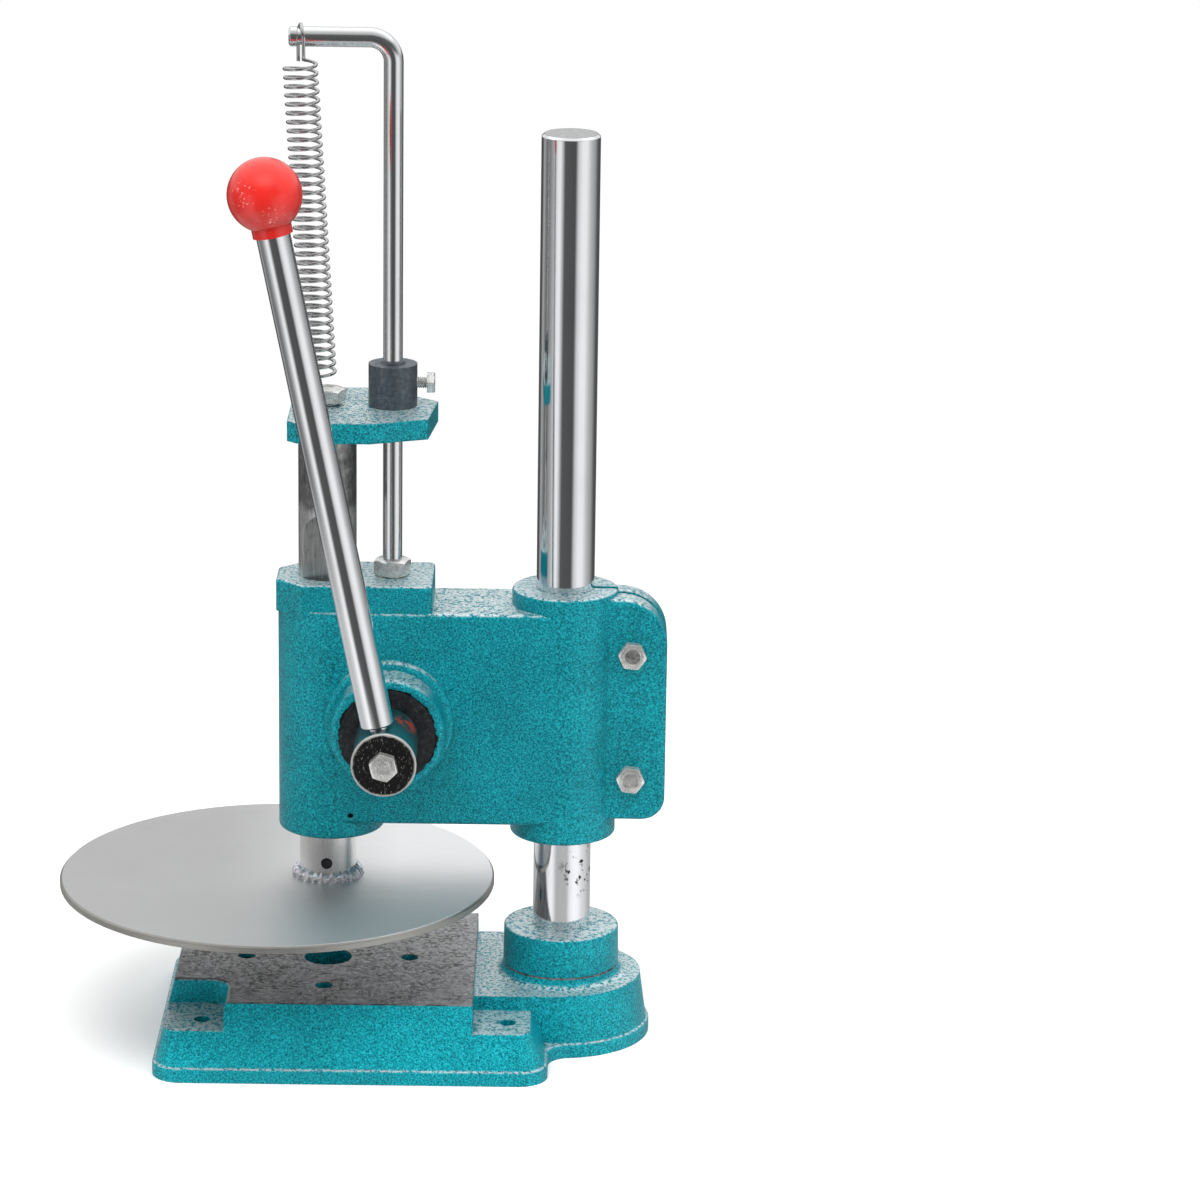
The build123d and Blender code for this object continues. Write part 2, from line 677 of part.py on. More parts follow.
# Pinion cut on its shaft
with BuildPart() as pinion_shaft:
    quarter_tooth = (pi / 2 - tooth_backlash / 2 / tooth_module) / tooth_count
    flank_radii = [root_r + 1.2, pitch_r - 0.7, pitch_r + 0.8, tip_r]
    upper = [tooth_point(r, quarter_tooth, 1) for r in flank_radii]
    lower = [tooth_point(r, quarter_tooth, -1) for r in reversed(flank_radii)]
    with BuildSketch(Plane.XZ.offset(-pinion_front)):
        with Locations((pinion_x, pinion_height)):
            Circle(root_r)
            with PolarLocations(0, tooth_count):
                Polygon((0, upper[0][1]), *upper, *lower, (0, lower[-1][1]), align=None)
    extrude(amount=-pinion_width)
    with BuildSketch(Plane.XZ.offset(-hub_front)):
        with Locations((pinion_x, pinion_height)):
            Circle(shaft_nose_r)
    extrude(amount=hub_front - hub_back)
    with BuildSketch(Plane.XZ.offset(-hub_back)):
        with Locations((pinion_x, pinion_height)):
            Circle(front_journal_r)
    extrude(amount=hub_back - pinion_front)
    with BuildSketch(Plane.XZ.offset(-pinion_back)):
        with Locations((pinion_x, pinion_height)):
            Circle(rear_journal_r)
    extrude(amount=pinion_back - shaft_end)
    chamfer(faces().sort_by(Axis.Y)[-1].edges(), shaft_chamfer)
    with BuildSketch(Plane.XZ.offset(-rear_face - side_gap)):
        with Locations((pinion_x, pinion_height)):
            Circle(2 * rear_journal_r)
            Circle(rear_journal_r - ring_groove, mode=Mode.SUBTRACT)
    extrude(amount=-ring_thickness, mode=Mode.SUBTRACT)
    with BuildSketch(Plane.XY.offset(pinion_height + shaft_nose_r - key_depth)):
        with Locations((pinion_x, hub_back - key_length)):
            Rectangle(key_width, key_length, align=(Align.CENTER, Align.MIN))
    extrude(amount=key_depth, mode=Mode.SUBTRACT)
    with BuildSketch(Plane.XZ.offset(-hub_front)):
        with Locations((pinion_x, pinion_height)):
            Circle(m8_r)
    extrude(amount=-m8_bite - tap_spare, mode=Mode.SUBTRACT)
pinion_shaft.part.label = "pinion_shaft"

# Retaining ring behind the rear bush, open at the top
with BuildPart() as retaining_ring:
    with BuildSketch(Plane.XZ.offset(-rear_face - side_gap)):
        with Locations((pinion_x, pinion_height)):
            Circle(ring_r)
            Circle(rear_journal_r - ring_groove, mode=Mode.SUBTRACT)
            Rectangle(ring_mouth, 2 * ring_r, align=(Align.CENTER, Align.MIN), mode=Mode.SUBTRACT)
    extrude(amount=-ring_thickness)
retaining_ring.part.label = "retaining_ring"

# Lever hub on the shaft nose, its key, washer and bolt
lever_plane = Plane(
    origin=(pinion_x, lever_y, pinion_height),
    x_dir=(cos(radians(lever_lean)), 0, sin(radians(lever_lean))),
    z_dir=(-sin(radians(lever_lean)), 0, cos(radians(lever_lean))),
)
with BuildPart() as lever_hub:
    with BuildSketch(Plane.XZ.offset(-hub_front)):
        with Locations((pinion_x, pinion_height)):
            Circle(hub_r)
    extrude(amount=hub_front - hub_back)
    chamfer(edges().group_by(Axis.Y)[-1], hub_edge)
    with BuildSketch(Plane.XZ.offset(-hub_front)):
        with Locations((pinion_x, pinion_height)):
            Circle(shaft_nose_r)
    extrude(amount=hub_front - hub_back, mode=Mode.SUBTRACT)
    with BuildSketch(Plane.XY.offset(pinion_height + shaft_nose_r - key_depth)):
        with Locations((pinion_x, hub_back - key_length)):
            Rectangle(key_width, key_length, align=(Align.CENTER, Align.MIN))
    extrude(amount=2 * key_depth, mode=Mode.SUBTRACT)
    with BuildSketch(lever_plane):
        Circle(neck_r)
    extrude(amount=2 * hub_r, mode=Mode.SUBTRACT)
lever_hub.part.label = "lever_hub"

with BuildPart() as hub_key:
    with BuildSketch(Plane.XY.offset(pinion_height + shaft_nose_r - key_depth)):
        with Locations((pinion_x, hub_back - key_length)):
            Rectangle(key_width, key_length, align=(Align.CENTER, Align.MIN))
    extrude(amount=2 * key_depth)
hub_key.part.label = "hub_key"

with BuildPart() as hub_washer:
    with BuildSketch(Plane.XZ.offset(-hub_front)):
        with Locations((pinion_x, pinion_height)):
            Circle(washer_r)
            Circle(m8_r, mode=Mode.SUBTRACT)
    extrude(amount=washer_thickness)
    chamfer(edges().group_by(Axis.Y)[0].sort_by(SortBy.RADIUS)[-1], washer_edge)
hub_washer.part.label = "hub_washer"

with BuildPart() as hub_bolt:
    with BuildSketch(Plane.XZ.offset(-hub_front + washer_thickness)):
        with Locations((pinion_x, pinion_height)):
            hex_sketch(hex_m8[0])
    extrude(amount=hex_m8[1])
    with BuildSketch(Plane.XZ.offset(-hub_front + washer_thickness)):
        with Locations((pinion_x, pinion_height)):
            Circle(m8_r)
    extrude(amount=-washer_thickness - m8_bite)
hub_bolt.part.label = "hub_bolt"

# Lever rod, necked where it screws into the hub, and its ball knob
rod_start = hub_r + neck_length
rod_end = lever_length - knob_r + knob_socket
with BuildPart() as lever_rod:
    with BuildSketch(lever_plane.offset(shaft_nose_r + 0.5)):
        Circle(neck_r)
    extrude(amount=rod_start - shaft_nose_r - 0.5)
    with BuildSketch(lever_plane.offset(rod_start)):
        Circle(rod_r)
    extrude(amount=rod_end - rod_start)
    rod_rims = edges().filter_by(GeomType.CIRCLE).filter_by(lambda e: abs(e.radius - rod_r) < 0.01)
    chamfer(rod_rims, rod_chamfer)
lever_rod.part.label = "lever_rod"

knob_plane = Plane(
    origin=lever_plane.origin + lever_plane.z_dir * lever_length,
    x_dir=lever_plane.x_dir,
    z_dir=-lever_plane.y_dir,
)
with BuildPart() as knob:
    with BuildSketch(knob_plane):
        with BuildLine():
            neck_level = -knob_r - knob_neck
            hole_level = rod_end - lever_length
            meet_level = -sqrt(knob_r**2 - knob_neck_r**2)
            Line((rod_r, neck_level), (knob_neck_r, neck_level))
            Line((knob_neck_r, neck_level), (knob_neck_r, meet_level))
            ThreePointArc((knob_neck_r, meet_level), (knob_r, 0), (0, knob_r))
            Polyline((0, knob_r), (0, hole_level), (rod_r, hole_level), (rod_r, neck_level))
        make_face()
    revolve(axis=Axis(knob_plane.origin, lever_plane.z_dir))
knob.part.label = "knob"

# Return spring: an eye over the arm of the post, close turns and an eye round the ram bolt
arm_eye_r = post_r - hook_groove_depth + wire_r + eye_clearance
bolt_eye_r = m10_r + wire_r + eye_clearance
bolt_eye_height = cross_top + wire_r + eye_clearance
coil_top = post_arm_height - arm_eye_r - coil_top_drop
coil_bottom = cross_top + coil_bottom_rise
coil_angle = 2 * pi * coil_turns + 1.25 * pi


def on_coil(share):
    turn = -pi / 4 + share * coil_angle
    lean = hook_x + share * (ram_x - coil_bottom_shift - hook_x)
    height = coil_top + share * (coil_bottom - coil_top)
    return Vector(lean + coil_r * cos(turn), coil_r * sin(turn), height)


def coil_heading(share):
    step = 1e-5
    return (on_coil(share + step) - on_coil(share - step)).normalized()


def biarc(start, start_heading, end, end_heading):
    chord = end - start
    both = start_heading + end_heading
    lead = both.dot(both) - 4
    along = chord.dot(both)
    if abs(lead) < 1e-9:
        reach = chord.dot(chord) / (2 * along)
    else:
        reach = (along - sqrt(along**2 - lead * chord.dot(chord))) / lead
        reach = max(reach, (along + sqrt(along**2 - lead * chord.dot(chord))) / lead)
    joint = (start + end + (start_heading - end_heading) * reach) / 2
    first = TangentArc(start, joint, tangent=start_heading)
    return TangentArc(joint, end, tangent=first % 1)


with BuildPart() as return_spring:
    with BuildLine() as spring_path:
        eye = [
            Vector(hook_x, arm_eye_r * sin(a), post_arm_height + arm_eye_r * cos(a))
            for a in (radians(240 + 75 * step) for step in range(5))
        ]
        ThreePointArc(eye[0], eye[1], eye[2])
        ThreePointArc(eye[2], eye[3], eye[4])
        biarc(eye[4], Vector(0, -1, 0), on_coil(0), coil_heading(0))
        halves = int(coil_angle / pi) + 1
        for half in range(halves):
            near = half / halves
            far = (half + 1) / halves
            biarc(on_coil(near), coil_heading(near), on_coil(far), coil_heading(far))
        tail_x = on_coil(1).X
        tail_top = Vector(tail_x, -bolt_eye_r, bolt_eye_height + tail_bend + tail_drop)
        tail_foot = Vector(tail_x, -bolt_eye_r, bolt_eye_height + tail_bend)
        tail_turn = Vector(tail_x + tail_bend, -bolt_eye_r, bolt_eye_height)
        biarc(on_coil(1), coil_heading(1), tail_top, Vector(0, 0, -1))
        Line(tail_top, tail_foot)
        TangentArc(tail_foot, tail_turn, tangent=(0, 0, -1))
        eye = [
            Vector(ram_x + bolt_eye_r * sin(a), -bolt_eye_r * cos(a), bolt_eye_height)
            for a in (radians(70 * step) for step in range(5))
        ]
        Line(tail_turn, eye[0])
        ThreePointArc(eye[0], eye[1], eye[2])
        ThreePointArc(eye[2], eye[3], eye[4])
    spring_wire = spring_path.wire()
    with BuildSketch(Plane(origin=spring_wire @ 0, z_dir=spring_wire % 0)):
        Circle(wire_r)
    sweep(path=spring_wire)
return_spring.part.label = "return_spring"


def least_gap(wire, radius, count=1400):
    points = [wire @ (i / count) for i in range(count + 1)]
    spacing = wire.length / count
    skip = int(6 * radius / spacing) + 1
    near = min(
        (a - b).length
        for i, a in enumerate(points)
        for b in points[i + skip:i + skip + 60]
    )
    return near - 2 * radius


print("least gap of the spring to itself:", round(least_gap(spring_wire, wire_r), 2), "mm")

pieces = [
    base_casting, column, head_casting, clamp_bolts, clamp_nuts, front_bush, rear_bush, guide_post,
    post_nut, stop_collar, stop_screw, ram, cross_plate, cross_plate_bolt, plate_socket, socket_screw,
    weld_bead, press_plate, pinion_shaft, retaining_ring, lever_hub, hub_key, hub_washer, hub_bolt,
    lever_rod, knob, return_spring,
]
os.makedirs("parts", exist_ok=True)
for piece in pieces:
    export_step(piece.part, "parts/" + piece.part.label + ".step")
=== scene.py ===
import json
import math
import random

import bmesh
import bpy
from mathutils import Matrix, Vector

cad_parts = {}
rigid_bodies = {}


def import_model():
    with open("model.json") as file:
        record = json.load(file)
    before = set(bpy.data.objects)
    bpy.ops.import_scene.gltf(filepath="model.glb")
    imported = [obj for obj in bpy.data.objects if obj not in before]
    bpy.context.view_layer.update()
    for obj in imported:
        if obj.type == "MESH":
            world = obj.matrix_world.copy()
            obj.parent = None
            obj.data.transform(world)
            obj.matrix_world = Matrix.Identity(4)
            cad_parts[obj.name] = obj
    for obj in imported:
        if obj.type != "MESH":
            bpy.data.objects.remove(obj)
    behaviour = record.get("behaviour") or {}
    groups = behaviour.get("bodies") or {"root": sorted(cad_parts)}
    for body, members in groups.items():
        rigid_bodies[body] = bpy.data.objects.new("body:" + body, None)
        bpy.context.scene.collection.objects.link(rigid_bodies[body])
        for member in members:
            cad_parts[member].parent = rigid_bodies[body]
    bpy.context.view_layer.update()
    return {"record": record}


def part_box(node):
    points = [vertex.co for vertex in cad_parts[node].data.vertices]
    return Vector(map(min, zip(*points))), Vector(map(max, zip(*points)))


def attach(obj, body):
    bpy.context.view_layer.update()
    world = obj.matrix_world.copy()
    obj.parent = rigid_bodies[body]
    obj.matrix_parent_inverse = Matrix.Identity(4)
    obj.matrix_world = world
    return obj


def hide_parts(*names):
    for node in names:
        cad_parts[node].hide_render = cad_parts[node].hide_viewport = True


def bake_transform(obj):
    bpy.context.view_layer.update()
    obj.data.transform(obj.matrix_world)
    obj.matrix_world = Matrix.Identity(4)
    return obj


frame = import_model()
nodes = bpy.data.objects


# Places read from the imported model, in metres

def middle(name):
    low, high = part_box(name)
    return (Vector(low) + Vector(high)) / 2


def top_of(name):
    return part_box(name)[1][2]


ram_axis = middle("ram")
column_axis = middle("column")
pinion_axis = middle("hub_washer")
plate_centre = middle("press_plate")
knob_centre = middle("knob")
plate_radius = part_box("press_plate")[1][0] - plate_centre.x
column_top = top_of("column")
mounts = {mount["name"]: mount for mount in frame["record"]["mounts"]}
table_level = mounts["table_face"]["pos_m"][2]
bush_flange = 0.0015
boss_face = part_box("front_bush")[0][1] + bush_flange


# Camera, fitted to the photograph: a long lens a little above the press

def add_camera():
    place = Vector((0.1073, -2.3461, 0.9082))
    yaw, pitch, roll = 0.0071, 0.2792, 0.0151
    focal_pixels, image_pixels, sensor = 4713.6, 1200, 36.0
    forward = Vector((
        math.sin(yaw) * math.cos(pitch), math.cos(yaw) * math.cos(pitch), -math.sin(pitch)))
    level = Vector((math.cos(yaw), -math.sin(yaw), 0))
    down = forward.cross(level)
    right = level * math.cos(roll) - down * math.sin(roll)
    up = right.cross(forward)
    data = bpy.data.cameras.new("camera")
    data.lens = focal_pixels / image_pixels * sensor
    data.sensor_width = sensor
    data.clip_end = 20
    camera = bpy.data.objects.new("camera", data)
    bpy.context.collection.objects.link(camera)
    turned = Matrix((right, up, -forward)).transposed().to_4x4()
    camera.matrix_world = Matrix.Translation(place) @ turned
    bpy.context.scene.camera = camera


# Helpers for materials, the floor and the world

class Tree:
    """A node tree, with short calls for the nodes that everything here uses."""

    def __init__(self, tree):
        self.tree = tree

    def new(self, kind, **settings):
        node = self.tree.nodes.new(kind)
        for key, value in settings.items():
            setattr(node, key, value)
        return node

    def link(self, source, target):
        self.tree.links.new(source, target)

    def math(self, operation, first, second=0.0, third=0.0, clamp=False):
        node = self.new("ShaderNodeMath", operation=operation, use_clamp=clamp)
        for socket, value in zip(node.inputs, (first, second, third)):
            if isinstance(value, (float, int)):
                socket.default_value = value
            else:
                self.link(value, socket)
        return node.outputs["Value"]

    def rise(self, value, low, high):
        """0 up to low, 1 from high on, and a soft curve between them."""
        node = self.new("ShaderNodeMapRange", interpolation_type="SMOOTHSTEP")
        node.inputs["From Min"].default_value = low
        node.inputs["From Max"].default_value = high
        self.link(value, node.inputs["Value"])
        return node.outputs["Result"]

    def step(self, value, edge, soft):
        """0 below the edge, 1 above it."""
        return self.rise(value, edge - soft, edge + soft)

    def fall(self, value, edge, soft):
        """1 below the edge, 0 above it."""
        return self.math("SUBTRACT", 1.0, self.step(value, edge, soft))

    def between(self, factor, first, second):
        """The level between first and second that the factor gives."""
        return self.math("MULTIPLY_ADD", factor, self.math("SUBTRACT", second, first), first)


class Nodes(Tree):
    """The tree of a new material, with the textures and masks that the finishes use."""

    def __init__(self, name):
        self.material = bpy.data.materials.new(name)
        self.material.use_nodes = True
        super().__init__(self.material.node_tree)
        self.shader = self.tree.nodes["Principled BSDF"]
        self.coords = self.tree.nodes.new("ShaderNodeTexCoord").outputs["Object"]

    def set(self, **values):
        for key, value in values.items():
            self.shader.inputs[key.replace("_", " ")].default_value = value

    def stretch(self, scale):
        mapping = self.new("ShaderNodeMapping")
        mapping.inputs["Scale"].default_value = scale
        self.link(self.coords, mapping.inputs["Vector"])
        return mapping.outputs["Vector"]

    def noise(self, scale, detail=4.0, roughness=0.55, vector=None, distortion=0.0):
        node = self.new("ShaderNodeTexNoise")
        node.inputs["Scale"].default_value = scale
        node.inputs["Detail"].default_value = detail
        node.inputs["Roughness"].default_value = roughness
        node.inputs["Distortion"].default_value = distortion
        self.link(vector or self.coords, node.inputs["Vector"])
        return node.outputs["Fac"]

    def cells(self, scale, feature="F1", vector=None):
        node = self.new("ShaderNodeTexVoronoi", feature=feature)
        node.inputs["Scale"].default_value = scale
        self.link(vector or self.coords, node.inputs["Vector"])
        return node.outputs["Distance"]

    def ramp(self, value, *stops):
        """Greys or colours between stops, each a position and a shade."""
        node = self.new("ShaderNodeValToRGB")
        elements = node.color_ramp.elements
        while len(elements) < len(stops):
            elements.new(0.5)
        for element, (position, color) in zip(elements, stops):
            element.position = position
            shade = color if isinstance(color, tuple) else (color, color, color)
            element.color = (*shade, 1)
        self.link(value, node.inputs["Fac"])
        return node.outputs["Color"]

    def mix(self, factor, first, second, blend="MIX"):
        node = self.new("ShaderNodeMix", data_type="RGBA", blend_type=blend)
        color_a, color_b, color_out = 6, 7, 2
        pairs = (("Factor", factor), (color_a, first), (color_b, second))
        for key, value in pairs:
            socket = node.inputs[key]
            if isinstance(value, (tuple, float, int)):
                socket.default_value = (*value, 1) if isinstance(value, tuple) else value
            else:
                self.link(value, socket)
        return node.outputs[color_out]

    def spot(self, centre, radius, edge):
        """1 inside a ball round centre, 0 outside, with a soft edge."""
        away = self.new("ShaderNodeVectorMath", operation="DISTANCE")
        self.link(self.coords, away.inputs[0])
        away.inputs[1].default_value = centre
        return self.fall(away.outputs["Value"], radius, edge)

    def around(self, centre, line):
        """Distance from the line through centre along the axis X, Y or Z."""
        flat = self.new("ShaderNodeVectorMath", operation="MULTIPLY")
        shift = self.new("ShaderNodeVectorMath", operation="SUBTRACT")
        self.link(self.coords, shift.inputs[0])
        shift.inputs[1].default_value = centre
        self.link(shift.outputs["Vector"], flat.inputs[0])
        flat.inputs[1].default_value = [0.0 if letter == line else 1.0 for letter in "XYZ"]
        length = self.new("ShaderNodeVectorMath", operation="LENGTH")
        self.link(flat.outputs["Vector"], length.inputs[0])
        return length.outputs["Value"]

    def axis(self, letter):
        node = self.new("ShaderNodeSeparateXYZ")
        self.link(self.coords, node.inputs["Vector"])
        return node.outputs[letter]

    def color(self, value):
        self.link(value, self.shader.inputs["Base Color"])

    def rough(self, value):
        self.link(value, self.shader.inputs["Roughness"])

    def metal(self, value):
        self.link(value, self.shader.inputs["Metallic"])

    def soft_normal(self, radius):
        """A normal that rounds the edges off."""
        node = self.new("ShaderNodeBevel", samples=4)
        node.inputs["Radius"].default_value = radius
        return node.outputs["Normal"]

    def facing_up(self, normal, edge, soft):
        """1 where the normal points up, 0 where it points aside or down."""
        node = self.new("ShaderNodeSeparateXYZ")
        self.link(normal, node.inputs["Vector"])
        return self.step(node.outputs["Z"], edge, soft)

    def bump(self, height, strength, distance, normal=None):
        node = self.new("ShaderNodeBump")
        node.inputs["Strength"].default_value = strength
        node.inputs["Distance"].default_value = distance
        self.link(height, node.inputs["Height"])
        if normal:
            self.link(normal, node.inputs["Normal"])
        self.link(node.outputs["Normal"], self.shader.inputs["Normal"])
        self.link(node.outputs["Normal"], self.shader.inputs["Coat Normal"])


# Finishes

PAINT = (0.0015, 0.27, 0.33)
PAINT_DEEP = (0.0005, 0.11, 0.145)
PAINT_LIGHT = (0.012, 0.46, 0.52)
# Painted reflection: the white of the glints painted into paint that faces up
PAINTED_GLINT_WHITE = (0.80, 0.87, 0.88)
GREASE = (0.006, 0.007, 0.008)
CHROME = (0.78, 0.79, 0.81)


def hammered_paint(name, bare=None, grime=None, painted_light_lift=1.0):
    """Teal hammer finish, glossier where it faces up, and there darkened as painted shade and broken by
    white glints painted in as a painted reflection.

    bare(n) is a mask of machined steel, grime(n) one of black smears."""
    n = Nodes(name)
    grain = n.noise(1080, 3, 0.6, distortion=0.4)
    broad = n.noise(30, 3)
    flecks = n.ramp(grain, (0.35, PAINT_DEEP), (0.50, PAINT), (0.63, PAINT_LIGHT))
    # painted_light_lift makes the whole paint lighter: painted light
    paint = n.mix(1.0, flecks, n.ramp(broad, (0.3, 0.86 * painted_light_lift), (0.7, 1.10 * painted_light_lift)), "MULTIPLY")
    pocks = n.noise(95, 4, 0.6)
    height = n.mix(0.30, grain, pocks)
    normal = n.soft_normal(0.0012)
    up = n.facing_up(normal, edge=0.74, soft=0.16)
    sparkle = n.ramp(n.noise(520, 3, 0.7), (0.44, 0.0), (0.51, 1.0))
    glints = n.math("MULTIPLY", up, sparkle)
    # Painted shade: paint that faces up, rounded edges included, is darkened. Painted reflection: white
    # glints are then painted into it; the same glints also set the real coat.
    paint = n.mix(n.math("MULTIPLY", up, 0.45), paint, PAINT_DEEP)
    paint = n.mix(n.math("MULTIPLY", glints, 0.72), paint, PAINTED_GLINT_WHITE)
    n.link(n.between(glints, 0.12, 1.0), n.shader.inputs["Coat Weight"])
    n.set(Coat_Roughness=0.06, Coat_IOR=2.1, Specular_IOR_Level=0.1)
    if grime:
        paint = n.mix(grime(n), paint, GREASE)
    if bare:
        mask = bare(n)
        cutter = n.noise(1.0, 3, 0.6, vector=n.stretch((90, 1300, 90)))
        stain = n.ramp(n.noise(55, 7, 0.75), (0.42, 0.0), (0.56, 1.0))
        cuts = n.ramp(cutter, (0.47, 0.0), (0.66, 0.7))
        stained, grey, freshly_cut = (0.028, 0.029, 0.032), (0.20, 0.205, 0.215), (0.36, 0.365, 0.375)
        n.color(n.mix(mask, paint, n.mix(cuts, n.mix(stain, stained, grey), freshly_cut)))
        n.metal(n.between(mask, 0.45, 0.70))
        n.rough(n.between(mask, 0.32, 0.54))
        height = n.mix(mask, height, n.math("MULTIPLY", cutter, 0.25))
    else:
        n.color(paint)
        n.set(Metallic=0.45, Roughness=0.34)
    n.bump(height, 0.9, 0.0008, normal)
    return n.material


def table_mask(n):
    """The machined face of the table."""
    under, over, soft = 0.0004, 0.0006, 0.0001
    level = n.axis("Z")
    from_here = n.step(level, table_level - under, soft)
    up_to_here = n.fall(level, table_level + over, soft)
    return n.math("MULTIPLY", from_here, up_to_here)


def bush_grime(n):
    """Black grease that creeps from the bush over the face of the pinion boss."""
    reach, creep, depth = 0.0222, 0.006, 0.0012
    away = n.math("MULTIPLY_ADD", n.noise(150, 3), -creep, n.around(pinion_axis, "Y"))
    near = n.fall(away, reach, 0.0004)
    front = n.fall(n.axis("Y"), boss_face + depth, 0.0003)
    return n.math("MULTIPLY", near, front)


def polished_bar(name, stretch, tint=CHROME, rough=0.1, spots=None, soften=0.0005):
    """Bright metal with fine lines along it and a light haze.

    spots(n) is a mask of dark wear."""
    dulling, worn = 0.74, (0.03, 0.03, 0.028)
    n = Nodes(name)
    streak = n.noise(1.0, 4, 0.6, vector=n.stretch(stretch))
    haze = n.ramp(n.noise(22, 5, 0.6), (0.4, 0.0), (0.75, 0.30))
    tone = n.mix(haze, tint, tuple(dulling * c for c in tint))
    if spots:
        tone = n.mix(spots(n), tone, worn)
    n.color(tone)
    n.set(Metallic=1.0)
    n.rough(n.math("MULTIPLY_ADD", streak, 0.08, rough - 0.03))
    n.bump(streak, 0.05, 0.0002, n.soft_normal(soften) if soften else None)
    return n.material


def foot_spots(n):
    """Worn dark spots low on the column, towards its right, and the dull sawn end at its top."""
    worn_place, worn_reach = (column_axis.x + 0.012, -0.010, 0.092), 0.013
    marks = n.ramp(n.noise(230, 3, 0.6), (0.585, 0.0), (0.63, 1.0))
    spots = n.math("MULTIPLY", marks, n.spot(worn_place, worn_reach, edge=0.004))
    dullness = n.ramp(n.noise(300, 4, 0.6), (0.3, 0.70), (0.7, 0.40))
    sawn_end = n.math("MULTIPLY", n.step(n.axis("Z"), column_top - 0.0003, 0.0001), dullness)
    return n.math("MAXIMUM", spots, sawn_end)


def stained_steel(name, light=1.0, rubbed_below=None):
    """Ground steel with dark stains, rubbed bright below a level where that is given."""
    stains = (
        (0.38, (0.05, 0.05, 0.047)),
        (0.52, (0.17, 0.175, 0.17)),
        (0.68, (0.40, 0.40, 0.38)))
    n = Nodes(name)
    streak = n.noise(1.0, 5, 0.65, vector=n.stretch((900, 900, 90)))
    stain = n.noise(160, 6, 0.7)
    tone = n.ramp(stain, *((stop, tuple(light * c for c in shade)) for stop, shade in stains))
    tone = n.mix(0.3, tone, n.ramp(streak, (0.3, 0.15 * light), (0.7, 0.55 * light)))
    if rubbed_below:
        ragged = n.math("MULTIPLY_ADD", n.noise(140, 4, 0.6), 0.008, n.axis("Z"))
        rubbed = n.math("MULTIPLY", n.fall(ragged, rubbed_below, 0.003), 0.8)
        tone = n.mix(rubbed, tone, n.ramp(streak, (0.3, 0.42), (0.7, 0.78)))
    n.color(tone)
    n.set(Metallic=0.9)
    n.rough(n.ramp(stain, (0.3, 0.46), (0.7, 0.22)))
    n.bump(streak, 0.2, 0.0003, n.soft_normal(0.0004))
    return n.material


def brushed_plate(name):
    """Steel brushed from left to right, painted paler towards the right as painted light, with a turned
    rim.
    """
    shadow_grey, painted_light_grey, scratch_grey = (0.47, 0.47, 0.47), (0.82, 0.82, 0.825), (0.52, 0.52, 0.52)
    rim_dark, rim_light = (0.20, 0.195, 0.18), (0.50, 0.495, 0.47)
    n = Nodes(name)
    fine = n.noise(1.0, 3, 0.5, vector=n.stretch((60, 2600, 2600)))
    # Painted light: the face is darker at the left and paler at the right, with a random haze over it.
    left, right = plate_centre.x - 0.4 * plate_radius, plate_centre.x + 0.9 * plate_radius
    haze = n.math("MULTIPLY_ADD", n.noise(9, 4, 0.55), 0.35, n.rise(n.axis("X"), left, right))
    face = n.mix(n.ramp(haze, (0.1, 0.0), (1.1, 1.0)), shadow_grey, painted_light_grey)
    face = n.mix(n.ramp(fine, (0.45, 0.0), (0.75, 0.12)), face, scratch_grey)
    turned = n.noise(1.0, 4, 0.6, vector=n.stretch((180, 180, 2600)))
    edge = n.step(n.around(plate_centre, "Z"), plate_radius - 0.0009, 0.0002)
    face_rough = n.ramp(fine, (0.3, 0.49), (0.7, 0.57))
    rim_rough = n.ramp(turned, (0.3, 0.30), (0.7, 0.5))
    n.color(n.mix(edge, face, n.mix(turned, rim_dark, rim_light)))
    n.set(Metallic=1.0)
    n.rough(n.mix(edge, face_rough, rim_rough))
    n.bump(fine, 0.05, 0.0001, n.soft_normal(0.0006))
    return n.material


def zinc(name, metallic=0.74):
    """Zinc plating with a fine spangle."""
    n = Nodes(name)
    spangle = n.cells(420)
    wear = n.noise(260, 5, 0.65)
    dull, bright = (0.50, 0.51, 0.50), (0.82, 0.82, 0.80)
    n.color(n.mix(n.ramp(wear, (0.35, 0.0), (0.7, 1.0)), dull, bright))
    n.set(Metallic=metallic)
    n.rough(n.ramp(spangle, (0.1, 0.14), (0.7, 0.30)))
    n.bump(wear, 0.15, 0.0003, n.soft_normal(0.0003))
    return n.material


def black_steel(name, rough=0.42, deep=(0.012, 0.014, 0.016), mid=(0.035, 0.038, 0.042), wear_from=0.62):
    """Black oxide, rubbed through in small places."""
    rubbed = (0.2, 0.2, 0.19)
    n = Nodes(name)
    wear = n.noise(420, 6, 0.75)
    n.color(n.ramp(wear, (0.4, deep), (wear_from, mid), (wear_from + 0.14, rubbed)))
    n.set(Metallic=0.5)
    n.rough(n.ramp(wear, (0.3, rough + 0.15), (0.8, rough - 0.15)))
    n.bump(wear, 0.3, 0.0004, n.soft_normal(0.0005))
    return n.material


